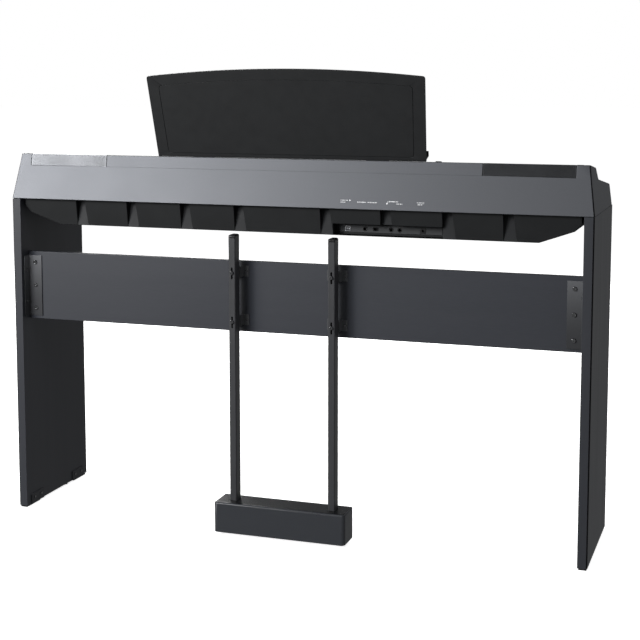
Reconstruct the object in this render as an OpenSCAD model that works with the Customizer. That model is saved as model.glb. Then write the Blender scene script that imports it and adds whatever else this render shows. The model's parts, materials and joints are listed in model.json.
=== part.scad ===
// Digital piano on a two-panel stand, with a three-pedal unit hung from the stand's back board.
// Millimetres. X runs along the keyboard with the treble end at +X, the player sits at -Y, Z is up.
// The origin is on the floor, under the middle of the whole object.
// Inside back_frame(), y = 0 is the plane of the side panels' back edges and everything else is at y < 0,
// apart from the pedal box, which stands out behind.

/* [Overall] */
// Width over the side panels, which is also the width of the piano
total_w = 1326; // [1324:1:1340]
// Depth of the side panels
total_d = 290; // [288:1:300]
// Height of the side panels' top edge, where the piano rests
seat_z = 730; // [720:1:740]

/* [Stand] */
// Thickness of a side panel
panel_t = 21; // [18:1:22]
// Height of the glides under the side panels
glide_h = 4; // [3:0.5:6]
// Height of the back board's lower edge
board_z = 448; // [440:1:460]
// Height of the back board itself
board_h = 157; // [150:1:165]
// Thickness of the back board
board_t = 15; // [12:1:18]
// Distance from the side panels' back edges to the board's back face
board_in = 31; // [28:1:34]

/* [Piano] */
// How far the lower case hangs below the seat
case_drop = 58; // [56:1:62]
// Height of the slanted back wall above the seat
back_h = 102; // [100:1:104]
// How far the back wall leans in over that height
back_lean = 24; // [22:1:26]
// How far each end leans in over that height
end_lean = 14; // [10:1:16]
// Wall thickness of the moulded cases
case_t = 3; // [2.5:0.5:3.5]
// Length of each speaker grille
grille_w = 192; // [160:2:192]

/* [Keys] */
// Distance from one white key to the next
key_pitch = 23.5; // [23.4:0.05:23.5]
// Gap between two white keys
key_gap = 1; // [0.8:0.1:1.2]
// Width of a black key
black_w = 11; // [10:0.5:11]
// Height of a black key above the white ones
black_h = 12; // [11:0.5:12]

/* [Music rest] */
// Width of the rest at its top corners
rest_w = 629; // [600:1:640]
// Length of the rest from the deck to its top corners
rest_h = 183; // [160:1:190]
// Rise of the arched top edge
rest_arch = 16.5; // [10:0.5:20]
// How far the rest leans back, in degrees
rest_tilt = 14; // [10:1:16]

/* [Pedal unit] */
// Width of the pedal box
box_w = 303; // [300:1:310]
// Depth of the pedal box
box_d = 67; // [66:1:70]
// Height of the pedal box itself
box_h = 68; // [66:1:70]
// Height of the pedal box's lower edge above the floor
box_z = 7.5; // [6:0.5:9]
// How far the pedal box stands out behind the side panels
box_out = 36; // [34:1:38]
// Distance from the middle to each post
post_x = 114; // [110:1:118]
// Height of the top of the posts
post_top = 668; // [650:1:668]
// Distance between pedals
pedal_pitch = 66; // [60:1:70]

/* [Hidden] */
$fn = 48;

half_w = total_w / 2;
back_y = (total_d - box_out) / 2;
inner_x = half_w - panel_t;
low_z = seat_z - case_drop;
past = 1;

// Back wall: its foot is at y = 0, and above the crease it holds the grilles.
back_top_z = seat_z + back_h;
crease_z = seat_z + 0.75 * back_h;
function back_y_at(z) = -back_lean * (z - seat_z) / back_h;

// Deck: from the top of the back wall, gently down towards the keys.
deck_back = [-back_lean - 3, back_top_z + 0.5];
deck_front = [-102, back_top_z - 9.5];
deck_slope = atan((deck_back[1] - deck_front[1]) / (deck_back[0] - deck_front[0]));
lip_top = [-119, seat_z + 68];
lip_foot = [-121, seat_z + 50];
deck_half = half_w - 27.4;
grille_x = 622 - grille_w / 2;
grille_deck = 26;
grille_t = 2;

// Keys
white_top = seat_z + 44;
key_h = 16;
key_low = white_top - key_h;
key_front = -281;
key_back = -70;
head_back = -225;
black_front = -223;
black_back = -128;
pivot = [-90, key_low + 2];
white_count = 52;
keys_half = white_count * key_pitch / 2;
octave_first = 23;
// The black key to the right of each white key of an octave, from C: its place off the joint line.
black_shift = [-3, 3, undef, -4, 0, 4, undef];
function degree(i) = (i + 5) % 7;
function white_x(i) = -keys_half + key_pitch * (i + 0.5);
function has_black(i) = i >= 0 && i < white_count - 1 && black_shift[degree(i)] != undef;
function black_x(i) = white_x(i) + key_pitch / 2 + black_shift[degree(i)];
function in_octave(i) = i >= octave_first && i < octave_first + 7;

// End blocks
block_inner = keys_half + 1.5;
block_front = -284;
slip_front = -286;

// Rear wall of the lower case: it leans back towards the top, with tapered grooves in it.
wall_foot = -20;
wall_head = -12;
back_wall_t = 30;
groove_foot = wall_foot;
groove_head = -31;
groove_w = 28;
groove_taper = 7;
groove_x = [491, 364, 233, 105, -94, -228, -362, -490];
recess = [-348, -108];
recess_top = low_z + 25;
recess_back = -42;
front_wall = -276;
jack_z = low_z + 13;
usb_x = -134;
sustain_x = -172;
pedal_x = -196;
line_x = [-230, -249];
inlet_x = -300;
jack_r = 3.2;
nose_r = 4.7;
headphone_x = [-600, -577];
headphone_z = low_z + 40;

// Feet of the key frame, clear of the main board
frame_feet_x = [-520, -380, -60, 220, 500];

// Buttons, from the bass end
button_y = 58;
button_size = [15, 8, 7];
power_x = -596;
slider_x = -322;
metronome_x = -250;
rhythm_x = -220;
record_x = -60;
play_x = -30;

// Music rest
rest_y = -35;
rest_t = 4;
rest_tab_x = 200;
rest_tab = [50, 15];
rest_gap = 0.4;
deck_at_rest = deck_back[1] + (rest_y - deck_back[0]) * tan(deck_slope);

// Bracket and its bolts
bracket_w = 35;
bracket_h = 141;
bracket_z = board_z + 7;
bracket_t = 2.5;
bracket_out = 19;
bolt_z = [board_z + 25, board_z + 78.5, board_z + 132];
bolt_in = 19.5;
side_screw_z = [board_z + 42, board_z + 115];
bolt_r = 3;
bolt_gap = 0.3;
plate_size = [56, 23];
plate_y = [-47, -243];
plate_t = 2;

// Pedal unit
box_back = box_out;
box_front = box_out - box_d;
box_top = box_z + box_h;
box_t = 3;
box_corner = 9;
post_size = [16, 26];
post_front = -14;
post_wall = 1.5;
cap_h = 8;
clip_z = [board_z + 27, board_z + 135];
slot_len = 26;
clip_size = [46, 24];
rod_y = 18;
rod_z = 45;
rod_r = 4;
pedal_t = 8;
pedal_tip = -98;
pedal_tip_r = 12;
pedal_eye_r = 8;
pedal_neck = 14;
spring_y = -12;

// ---- Ways of placing things ----

// y = 0 at the side panels' back edges
module back_frame() {
    translate([0, back_y, 0])
        children();
}

// An outline in (y, z), drawn along X from x0
module along_x(x0, len) {
    translate([x0, 0, 0])
        rotate([90, 0, 90])
            linear_extrude(len)
                children();
}

// An outline in (x, z), drawn along Y from y0 towards +Y
module along_y(y0, len) {
    translate([0, y0 + len, 0])
        rotate([90, 0, 0])
            linear_extrude(len)
                children();
}

// A round bar along Y from y0 towards +Y
module rod_y_axis(pos, r, len) {
    translate(pos)
        rotate([-90, 0, 0])
            cylinder(r = r, h = len);
}

// A round bar along X, from pos towards +X
module rod_x_axis(pos, r, len) {
    translate(pos)
        rotate([0, 90, 0])
            cylinder(r = r, h = len);
}

// The deck's own frame: its origin is on the deck's outer face, d in front of the back edge
module on_deck(x, d) {
    translate([x, deck_back[0], deck_back[1]])
        rotate([deck_slope, 0, 0])
            translate([0, -d, 0])
                children();
}

// The rest's own frame: z runs up the panel, whose back face is y = 0
module on_rest() {
    translate([0, rest_y, deck_at_rest])
        rotate([-rest_tilt, 0, 0])
            children();
}

module block(from, to) {
    translate(from)
        cube(to - from);
}

module rounded_outline(w, h, r) {
    union() {
        translate([-w / 2 + r, -h / 2])
            square([w - 2 * r, h]);
        translate([-w / 2, -h / 2 + r])
            square([w, h - 2 * r]);
        for (sx = [-1, 1], sy = [-1, 1])
            translate([sx * (w / 2 - r), sy * (h / 2 - r)])
                circle(r);
    }
}

// ---- Piano: cases ----

// Width of the piano at each height: the ends lean in above the seat
module end_lean_outline() {
    top_half = half_w - end_lean * (back_h + 5) / back_h;
    polygon([[-half_w, seat_z], [half_w, seat_z], [top_half, back_top_z + 5], [-top_half, back_top_z + 5]]);
}

module lower_front_outline(inset) {
    flat = 549 - inset * 0.5;
    knee = 622 - inset;
    side = 636 - inset;
    polygon([
        [-flat, low_z + inset], [flat, low_z + inset], [knee, low_z + 26 + inset], [side, low_z + 42 + inset],
        [side, seat_z + inset * past], [-side, seat_z + inset * past], [-side, low_z + 42 + inset],
        [-knee, low_z + 26 + inset]
    ]);
}

module lower_side_outline(inset, wall) {
    polygon([
        [wall_foot - wall, low_z - past + inset], [wall_head - wall, seat_z + inset * past],
        [front_wall + inset, seat_z + inset * past], [front_wall + inset, low_z + 24],
        [front_wall + 10 + inset, low_z - past + inset]
    ]);
}

// Tapered groove: nothing at the foot of the wall, deepest and narrowest at its head
module groove(x) {
    intersection() {
        along_x(x - groove_w / 2, groove_w)
            polygon([
                [groove_foot, low_z], [past, low_z - past], [past, seat_z + past],
                [groove_head, seat_z + past]
            ]);
        along_y(-total_d, total_d + past)
            polygon([
                [x - groove_w / 2, low_z - past], [x + groove_w / 2, low_z - past],
                [x + groove_w / 2, seat_z + past], [x - groove_w / 2 + groove_taper, seat_z + past]
            ]);
    }
}

module bottom_case() color("#2c2e2f") back_frame() {
    difference() {
        intersection() {
            along_y(-total_d, total_d)
                lower_front_outline(0);
            along_x(-half_w, total_w)
                lower_side_outline(0, 0);
        }
        // Inside: thick back wall, so that the grooves leave plastic behind them
        intersection() {
            along_y(-total_d, total_d)
                lower_front_outline(case_t);
            along_x(-half_w, total_w)
                lower_side_outline(case_t, back_wall_t);
        }
        for (x = groove_x)
            groove(x);
        // Recess for the sockets, open at the bottom, and the room behind it
        block([recess[0], recess_back, low_z - past], [recess[1], past, recess_top]);
        block(
            [recess[0] + 6, recess_back - 8, low_z + 5],
            [recess[1] - 6, recess_back + past, recess_top - 3]
        );
        for (x = headphone_x)
            rod_y_axis([x, front_wall - past, headphone_z], nose_r + 0.2, case_t + 2 * past);
        for (p = screw_places())
            translate([p[0], p[1], low_z - past])
                cylinder(r = 4.2, h = past + 1.8);
    }
}

function screw_places() = [for (x = [-500, -250, 0, 250, 500], y = [-70, -220]) [x, y]];

module case_screws() color("#1b1b1c") back_frame() {
    for (p = screw_places())
        translate([p[0], p[1], low_z + 0.4])
            difference() {
                cylinder(r = 3.8, h = 1.4);
                translate([-2.2, -0.4, -past])
                    cube([4.4, 0.8, past + 0.8]);
                translate([-0.4, -2.2, -past])
                    cube([0.8, 4.4, past + 0.8]);
            }
}

module back_wall_outline() {
    polygon([
        [-0.2, seat_z + 0.8], [back_y_at(crease_z) - 0.4, crease_z], [back_y_at(back_top_z), back_top_z],
        [deck_back[0] - case_t, deck_back[1] - 0.5], [deck_back[0] - case_t, back_top_z - case_t],
        [back_y_at(crease_z) - case_t - 0.4, crease_z], [-case_t - 0.2, seat_z + 0.8]
    ]);
}

module deck_outline() {
    polygon([
        [deck_back[0] + 1, back_top_z - case_t], deck_back, deck_front, lip_top, lip_foot,
        lip_foot + [case_t, 0], lip_top + [case_t, -1], deck_front + [1.6, -case_t],
        [deck_back[0] - 2, back_top_z - case_t]
    ]);
}

module button_hole(x, size, slack) {
    on_deck(x, button_y)
        translate([-size[0] / 2 - slack, -size[1] / 2 - slack, -case_t * 2])
            cube([size[0] + 2 * slack, size[1] + 2 * slack, case_t * 3]);
}

module top_case() color("#5c5f66") back_frame() {
    difference() {
        union() {
            intersection() {
                along_x(-half_w, total_w)
                    back_wall_outline();
                along_y(-total_d, total_d)
                    end_lean_outline();
            }
            along_x(-deck_half, 2 * deck_half)
                deck_outline();
        }
        for (s = [-1, 1])
            grille_opening(s * grille_x);
        for (x = [power_x, metronome_x, rhythm_x, record_x, play_x])
            button_hole(x, button_size, 0.4);
        button_hole(slider_x, [56, 3], 0);
        for (s = [-1, 1])
            on_rest()
                translate([s * rest_tab_x - rest_tab[0] / 2 - 0.5, -rest_t - 0.5, -rest_tab[1] - 2])
                    cube([rest_tab[0] + 1, rest_t + 1, rest_tab[1] + 12]);
    }
}

// Space taken by a grille: the back wall above the crease and the back strip of the deck
module grille_opening(x) {
    along_x(x - grille_w / 2, grille_w)
        polygon([
            [past, crease_z], [past, deck_back[1] + 5], [deck_back[0] - grille_deck, deck_back[1] + 5],
            [deck_back[0] - grille_deck, back_top_z - 9], [deck_back[0] - 9, back_top_z - 9],
            [deck_back[0] - 9, crease_z]
        ]);
}

module grille(x) color("#303336") back_frame() {
    front_y = deck_back[0] - grille_deck + 0.2;
    front_z = deck_back[1] + (front_y - deck_back[0]) * tan(deck_slope);
    slots = 23;
    pitch = (grille_w - 12) / slots;
    difference() {
        along_x(x - grille_w / 2 + 0.2, grille_w - 0.4)
            polygon([
                [back_y_at(crease_z) - 0.4, crease_z + 0.2], [back_y_at(back_top_z), back_top_z], deck_back,
                [front_y, front_z], [front_y, front_z - grille_t],
                [deck_back[0] - 0.6, deck_back[1] - grille_t],
                [back_y_at(back_top_z) - grille_t, back_top_z - 1],
                [back_y_at(crease_z) - 0.4 - grille_t, crease_z + 0.2]
            ]);
        for (i = [0 : slots - 1])
            translate([x - grille_w / 2 + 6 + pitch * (i + 0.5), 0, 0]) {
                block([-1.5, -60, crease_z + 4], [1.5, 0, back_top_z - 4]);
                block([-1.5, front_y + 4, back_top_z - 9], [1.5, deck_back[0] - 4, back_top_z + 9]);
            }
    }
}

module left_grille() grille(-grille_x);
module right_grille() grille(grille_x);

// Side outline of an end block, from the back wall round to the front
module end_outline() {
    back_gap = case_t + 1.8;
    polygon([
        [-back_gap, seat_z], [back_y_at(crease_z) - back_gap, crease_z],
        [deck_back[0] - back_gap, back_top_z - case_t], [deck_back[0] - back_gap, back_top_z + 0.4],
        deck_front + [0, 0.5], lip_top, [block_front + 4, seat_z + 47], [block_front, seat_z + 45],
        [block_front + 2, seat_z]
    ]);
}

module key_block_outline() {
    polygon([
        [lip_foot[0] - 0.4, seat_z], [lip_foot[0] - 0.4, seat_z + 66], [block_front + 4, seat_z + 46],
        [block_front, seat_z + 44], [block_front + 2, seat_z]
    ]);
}

module end_block(side) color("#4a4c50") back_frame() {
    intersection() {
        union() {
            along_x(side > 0 ? deck_half + 0.4 : -half_w, half_w - deck_half - 0.4)
                end_outline();
            along_x(side > 0 ? block_inner : -deck_half - 0.4, deck_half + 0.4 - block_inner)
                key_block_outline();
        }
        along_y(-total_d, total_d)
            end_lean_outline();
    }
}

module left_end_block() end_block(-1);
module right_end_block() end_block(1);

module key_slip() color("#1e1f20") back_frame() {
    along_x(-block_inner + 0.3, 2 * block_inner - 0.6)
        polygon([
            [slip_front, seat_z + 2], [slip_front, seat_z + 34], [slip_front + 1.5, seat_z + 36],
            [slip_front + 3, seat_z + 36], [slip_front + 3, seat_z + 5], [front_wall + 3, seat_z + 5],
            [front_wall + 3, seat_z], [slip_front + 3, seat_z]
        ]);
}

// ---- Piano: action and electronics ----

module key_frame() color("#3a3c3f") back_frame() {
    base_z = low_z + 30;
    front_rail = key_low - 12.3;
    difference() {
        along_x(-keys_half + 4, 2 * keys_half - 8)
            polygon([
                [-266, base_z], [-266, front_rail], [-250, front_rail], [-250, front_rail - 4],
                [-262, front_rail - 4], [-262, base_z + 3], [-190, base_z + 3], [-190, key_low - 24],
                [-184, key_low - 24], [-184, base_z + 3], [-94, base_z + 3], [-94, key_low - 12],
                [-97, key_low - 8], [-97, key_low - 6], pivot, [-84, key_low - 6], [-82, key_low - 6],
                [-82, key_low - 3.3], [key_back + 2, key_low - 3.3], [key_back + 2, key_low - 7],
                [-86, key_low - 12], [-86, base_z]
            ]);
        // Room for the headphone jacks
        block([-keys_half, -270, base_z - past], [headphone_x[1] + 12, -244, headphone_z + 8]);
    }
    for (x = frame_feet_x, y = [-250, -100])
        block([x - 10, y - 4, low_z + case_t], [x + 10, y + 4, base_z]);
}

module key_cushions() color("#a33a32") back_frame() {
    block([-keys_half + 4, -265, key_low - 12.3], [keys_half - 4, -252, key_low - 9.8]);
    block([-keys_half + 4, -81, key_low - 3.3], [keys_half - 4, key_back + 1, key_low - 0.3]);
}

module contact_board() color("#2f6b46") back_frame() {
    block([-keys_half + 6, -205, key_low - 24], [keys_half - 6, -150, key_low - 22.4]);
    block([-keys_half + 8, -195, key_low - 22.4], [keys_half - 8, -165, key_low - 12]);
}

module main_board() color("#2f6b46") back_frame() {
    board_low = jack_z - 8.6;
    block([recess[0] + 4, -135, board_low], [recess[1] - 4, recess_back - 10, board_low + 1.6]);
    for (x = [recess[0] + 10, recess[1] - 16], y = [-130, -60])
        block([x, y, low_z + case_t], [x + 6, y + 6, board_low]);
    for (i = [0 : 3])
        translate([recess[0] + 30 + 48 * i, -118, board_low + 1.6])
            cube([24, 24, 2.4]);
}

module jack_plate() color("#3d3f42") back_frame() {
    difference() {
        block(
            [recess[0] + 6.3, recess_back - 2.5, low_z + 5.3],
            [recess[1] - 6.3, recess_back - 0.3, recess_top - 3.3]
        );
        for (x = concat([sustain_x], line_x))
            rod_y_axis([x, recess_back - 5, jack_z], nose_r + 0.3, 8);
        socket_hole(usb_x, 12.4, 11.4);
        socket_hole(pedal_x, 12.4, 8.4);
        socket_hole(inlet_x, 12.4, 12.4);
    }
}

module socket_hole(x, w, h) {
    block([x - w / 2, recess_back - 5, jack_z - h / 2], [x + w / 2, recess_back + 3, jack_z + h / 2]);
}

module usb_socket() color("#b9bcc0") back_frame() {
    mouth = recess_back + 0.6;
    difference() {
        block([usb_x - 6, mouth - 16, jack_z - 5.5], [usb_x + 6, mouth, jack_z + 5.5]);
        difference() {
            block([usb_x - 4.3, mouth - 10, jack_z - 4], [usb_x + 4.3, mouth + past, jack_z + 4]);
            block([usb_x - 2.8, mouth - 11, jack_z - 1.5], [usb_x + 2.8, mouth - 2, jack_z + 1.5]);
        }
    }
}

module pedal_socket() color("#242526") back_frame() {
    mouth = recess_back + 0.4;
    difference() {
        block([pedal_x - 6, mouth - 14, jack_z - 4], [pedal_x + 6, mouth, jack_z + 4]);
        difference() {
            block([pedal_x - 4.8, mouth - 9, jack_z - 2.8], [pedal_x + 4.8, mouth + past, jack_z + 2.8]);
            for (i = [-2 : 2])
                translate([pedal_x + i * 1.7, 0, jack_z])
                    block([-0.3, mouth - 10, -0.3], [0.3, mouth - 4, 0.3]);
        }
    }
}

module phone_jack(x, mouth, z, dir) {
    // dir is 1 where the mouth faces +Y and -1 where it faces -Y
    body_from = dir > 0 ? mouth - 28 : mouth + 3.4;
    difference() {
        union() {
            rod_y_axis([x, dir > 0 ? mouth - 6 : mouth, z], nose_r, 6);
            block([x - 8, body_from, z - 7], [x + 8, body_from + 24.6, z + 7]);
        }
        rod_y_axis([x, dir > 0 ? mouth - 24 : mouth - past, z], jack_r, 24 + past);
    }
}

module phone_jacks() color("#161617") back_frame() {
    for (x = concat([sustain_x], line_x))
        phone_jack(x, recess_back + 0.8, jack_z, 1);
}

module headphone_jacks() color("#161617") back_frame() {
    for (x = headphone_x)
        phone_jack(x, front_wall - 0.2, headphone_z, -1);
}

module power_inlet() color("#1d1e1f") back_frame() {
    mouth = recess_back + 0.6;
    union() {
        difference() {
            block([inlet_x - 6, mouth - 15, jack_z - 6], [inlet_x + 6, mouth, jack_z + 6]);
            rod_y_axis([inlet_x, mouth - 10, jack_z], 2.9, 10 + past);
        }
        rod_y_axis([inlet_x, mouth - 10.5, jack_z], 1, 9);
    }
}

module speaker(x) color("#27292b") back_frame() {
    on_deck(x, 37)
        translate([0, 0, -case_t - 1.4])
            difference() {
                union() {
                    translate([-60, -29, -2])
                        cube([120, 58, 2]);
                    translate([0, 0, -28])
                        cylinder(r1 = 16, r2 = 27, h = 27);
                    translate([0, 0, -37])
                        cylinder(r = 21, h = 9.5);
                }
                translate([0, 0, -20])
                    cylinder(r1 = 9, r2 = 25, h = 20.1);
            }
}

module left_speaker() speaker(-grille_x);
module right_speaker() speaker(grille_x);

// ---- Music rest ----

module rest_outline() {
    arc_r = (rest_w * rest_w / 4 + rest_arch * rest_arch) / (2 * rest_arch);
    intersection() {
        polygon([
            [-rest_w / 2 + 7, rest_gap], [rest_w / 2 - 7, rest_gap],
            [rest_w / 2, rest_h + 30], [-rest_w / 2, rest_h + 30]
        ]);
        translate([0, rest_h + rest_arch - arc_r])
            circle(arc_r);
    }
}

module music_rest() color("#2b2c2e") back_frame() on_rest() {
    ledge_half = rest_w / 2 - 7;
    union() {
        along_y(-rest_t, rest_t)
            rest_outline();
        for (s = [-1, 1])
            translate([s * rest_tab_x - rest_tab[0] / 2, -rest_t, -rest_tab[1]])
                cube([rest_tab[0], rest_t, rest_tab[1] + 3]);
        // Ledge for the music, with a low lip along its front
        along_x(-ledge_half, 2 * ledge_half)
            polygon([
                [-rest_t + 1, 3], [-rest_t + 1, 7], [-22, 8.5], [-22, 17], [-25, 17], [-25, 8], [-22, 5.5]
            ]);
    }
}

// ---- Keys ----

// Where a black key passes between two white ones
module black_gap(x) {
    translate([x - black_w / 2 - 1, head_back])
        square([black_w + 2, key_back - head_back + past]);
}

module white_plan(i) {
    w = key_pitch - key_gap;
    difference() {
        translate([white_x(i) - w / 2, key_front])
            square([w, key_back - key_front]);
        if (has_black(i))
            black_gap(black_x(i));
        if (has_black(i - 1))
            black_gap(black_x(i - 1));
    }
}

// Notch in the underside that sits on the knife edge of the key frame
module pivot_notch(x, w) {
    along_x(x - w / 2, w)
        polygon([[pivot[0], pivot[1] + 0.1], [pivot[0] + 4, key_low - past], [pivot[0] - 4, key_low - past]]);
}

module white_key(i) {
    difference() {
        translate([0, 0, key_low])
            linear_extrude(key_h)
                white_plan(i);
        pivot_notch(white_x(i), key_pitch);
        // The top stands out over the front of the key
        block(
            [white_x(i) - key_pitch / 2, key_front - past, key_low - past],
            [white_x(i) + key_pitch / 2, key_front + 1.2, white_top - 3.5]
        );
    }
}

module black_key(i) {
    difference() {
        along_x(black_x(i) - black_w / 2, black_w)
            polygon([
                [black_front, key_low], [black_front, white_top + 1], [black_front + 5, white_top + black_h],
                [black_back, white_top + black_h], [black_back, white_top], [key_back, white_top],
                [key_back, key_low]
            ]);
        pivot_notch(black_x(i), black_w + 2);
    }
}

module one_white(n) color("#f2f0ea") back_frame() white_key(octave_first + n);
module one_black(n) color("#19191a") back_frame() black_key(octave_first + n);

module white_keys() color("#f2f0ea") back_frame() {
    for (i = [0 : white_count - 1])
        if (!in_octave(i))
            white_key(i);
}

module black_keys() color("#19191a") back_frame() {
    for (i = [0 : white_count - 1])
        if (has_black(i) && !in_octave(i))
            black_key(i);
}

module key_c() one_white(0);
module key_c_sharp() one_black(0);
module key_d() one_white(1);
module key_d_sharp() one_black(1);
module key_e() one_white(2);
module key_f() one_white(3);
module key_f_sharp() one_black(3);
module key_g() one_white(4);
module key_g_sharp() one_black(4);
module key_a() one_white(5);
module key_a_sharp() one_black(5);
module key_b() one_white(6);

// ---- Controls on the deck ----

module push_button(x) color("#8d9095") back_frame() {
    on_deck(x, button_y)
        union() {
            translate([-button_size[0] / 2, -button_size[1] / 2, -button_size[2] + 1.6])
                cube(button_size);
            translate([-button_size[0] / 2 - 1.2, -button_size[1] / 2 - 1.2, -case_t - 3.6])
                cube([button_size[0] + 2.4, button_size[1] + 2.4, 1.2]);
        }
}

module power_button() push_button(power_x);
module metronome_button() push_button(metronome_x);
module rhythm_button() push_button(rhythm_x);
module record_button() push_button(record_x);
module play_button() push_button(play_x);

module volume_slider() color("#8d9095") back_frame() {
    on_deck(slider_x, button_y)
        union() {
            translate([-6, -5, 0.4])
                cube([12, 10, 5]);
            translate([-2, -1.2, -case_t - 5])
                cube([4, 2.4, case_t + 5.6]);
        }
}

// ---- Stand ----

module side_panel(side) color("#45474b") back_frame() {
    x0 = side > 0 ? inner_x : -half_w;
    difference() {
        along_x(x0, panel_t)
            polygon([
                [-1, glide_h], [0, glide_h + 1], [0, seat_z - 1], [-1, seat_z], [-total_d + 1, seat_z],
                [-total_d, seat_z - 1], [-total_d, glide_h + 1], [-total_d + 1, glide_h]
            ]);
        for (p = side_screws())
            rod_x_axis([side * inner_x - 12, p[0], p[1]], 1.8, 24);
    }
}

// Small screws in the inner face of a side panel: two through the bracket, two through each corner plate
function side_screws() = concat(
    [for (z = side_screw_z) [-board_in + bracket_t + bracket_out / 2, z]],
    [for (y = plate_y, d = [-15, 15]) [y + d, glide_h + 14]]
);

module left_side_panel() side_panel(-1);
module right_side_panel() side_panel(1);

module back_board() color("#45474b") back_frame() {
    difference() {
        block([-inner_x, -board_in - board_t, board_z], [inner_x, -board_in, board_z + board_h]);
        for (s = [-1, 1], z = bolt_z)
            rod_y_axis([s * (inner_x - bolt_in), -board_in - 11, z], bolt_r + bolt_gap, 11 + past);
        for (s = [-1, 1], z = clip_z, d = [-1, 1])
            rod_y_axis([s * post_x + d * 18, -board_in - 11, z], 1.8, 11 + past);
    }
}

module bracket(side) color("#2f3133") back_frame() {
    mirror([side > 0 ? 0 : 1, 0, 0])
        difference() {
            union() {
                block(
                    [inner_x - bracket_w, -board_in, bracket_z],
                    [inner_x, -board_in + bracket_t, bracket_z + bracket_h]
                );
                block(
                    [inner_x - bracket_t, -board_in, bracket_z],
                    [inner_x, -board_in + bracket_t + bracket_out, bracket_z + bracket_h]
                );
            }
            for (z = bolt_z)
                rod_y_axis([inner_x - bolt_in, -board_in - past, z], bolt_r + bolt_gap, bracket_t + 2 * past);
            for (z = side_screw_z)
                translate([inner_x - bracket_t - past, -board_in + bracket_t + bracket_out / 2, z])
                    rod_x_axis([0, 0, 0], 1.8, bracket_t + 2 * past);
        }
}

module left_bracket() bracket(-1);
module right_bracket() bracket(1);

// A bolt head standing on the plane z = 0, with its shank below
module bolt(head_r, head_h, shank_r, shank_len) {
    union() {
        difference() {
            cylinder(r1 = head_r, r2 = head_r * 0.7, h = head_h);
            translate([0, 0, head_h * 0.4])
                cylinder(r = head_r * 0.35, h = head_h, $fn = 6);
        }
        translate([0, 0, -shank_len])
            cylinder(r = shank_r, h = shank_len + 0.5);
    }
}

module stand_bolts() color("#17181a") back_frame() {
    // Bracket to board
    for (s = [-1, 1], z = bolt_z)
        translate([s * (inner_x - bolt_in), -board_in + bracket_t, z])
            rotate([-90, 0, 0])
                bolt(5.5, 3, bolt_r, 12);
    // Bracket and corner plates to the side panels
    for (s = [-1, 1], z = side_screw_z)
        translate([s * (inner_x - bracket_t), -board_in + bracket_t + bracket_out / 2, z])
            rotate([0, -s * 90, 0])
                bolt(3.5, 2, 1.5, 12);
    for (s = [-1, 1], y = plate_y, d = [-15, 15])
        translate([s * (inner_x - plate_t), y + d, glide_h + 14])
            rotate([0, -s * 90, 0])
                bolt(3.5, 2, 1.5, 11);
    // Posts to their clips
    for (s = [-1, 1], z = clip_z)
        translate([s * post_x, post_front + post_size[1], z + 1])
            rotate([-90, 0, 0])
                bolt(5, 4, 1.8, post_size[1] + 8);
    // Clips to the board
    for (s = [-1, 1], z = clip_z, d = [-1, 1])
        translate([s * post_x + d * 18, -board_in + 2, z])
            rotate([-90, 0, 0])
                bolt(3.2, 2, 1.5, 11);
}

// Long pads under the corners of the side panels, small round ones between them, and two under the pedal box
module floor_glides() color("#1a1a1b") back_frame() {
    pad = [panel_t - 4, 60];
    for (s = [-1, 1], y = [-3 - pad[1], -total_d + 3])
        translate([s * (half_w - panel_t / 2) - pad[0] / 2, y, 0])
            cube([pad[0], pad[1], glide_h]);
    for (s = [-1, 1], y = [-82, -196])
        translate([s * (half_w - panel_t / 2), y, 0])
            cylinder(r = 7, h = glide_h);
    for (s = [-1, 1])
        translate([s * (box_w / 2 - 18), box_front + 12, 0])
            cylinder(r = 8, h = box_z);
}

module corner_plates() color("#3a3c3f") back_frame() {
    for (s = [-1, 1], y = plate_y)
        difference() {
            block(
                [s > 0 ? inner_x - plate_t : -inner_x, y - plate_size[0] / 2, glide_h],
                [s > 0 ? inner_x : -inner_x + plate_t, y + plate_size[0] / 2, glide_h + plate_size[1]]
            );
            for (d = [-15, 15])
                rod_x_axis([s * inner_x - 4, y + d, glide_h + 14], 1.8, 8);
        }
}

// ---- Pedal unit ----

// The pedal box's plan, drawn in by inset, from z upwards
module box_plan(inset, z, h) {
    translate([0, (box_front + box_back) / 2, z])
        linear_extrude(h)
            rounded_outline(box_w - 2 * inset, box_d - 2 * inset, box_corner - inset);
}

module pedal_box() color("#333538") back_frame() {
    mid_y = (box_front + box_back) / 2;
    edge_r = 5;
    difference() {
        intersection() {
            box_plan(0, box_z, box_h);
            along_x(-box_w / 2, box_w)
                translate([mid_y, box_top - 50])
                    rounded_outline(box_d, 100, edge_r);
            along_y(box_front, box_d)
                translate([0, box_top - 50])
                    rounded_outline(box_w, 100, edge_r);
        }
        box_plan(box_t, box_z - past, box_h - box_t + past);
        for (s = [-1, 1])
            translate([s * post_x - post_size[0] / 2 - 0.4, post_front - 0.4, box_top - box_t - past])
                cube([post_size[0] + 0.8, post_size[1] + 0.8, box_t + 2 * past]);
        for (i = [-1 : 1])
            block(
                [i * pedal_pitch - pedal_neck / 2 - 3, box_front - past, rod_z - 13],
                [i * pedal_pitch + pedal_neck / 2 + 3, box_front + box_t + past, rod_z + 7]
            );
    }
}

module pedal_base_plate() color("#2b2d2f") back_frame() {
    top = box_z + 3;
    difference() {
        union() {
            box_plan(box_t + 0.2, box_z, top - box_z);
            for (x = rod_ears())
                block([x - 2, rod_y - 8, top - 0.5], [x + 2, rod_y + 8, rod_z + 8]);
        }
        rod_x_axis([-box_w / 2, rod_y, rod_z], rod_r + 0.1, box_w);
    }
}

function rod_ears() = [for (i = [-1.5, -0.5, 0.5, 1.5]) i * pedal_pitch * 0.94];

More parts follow.
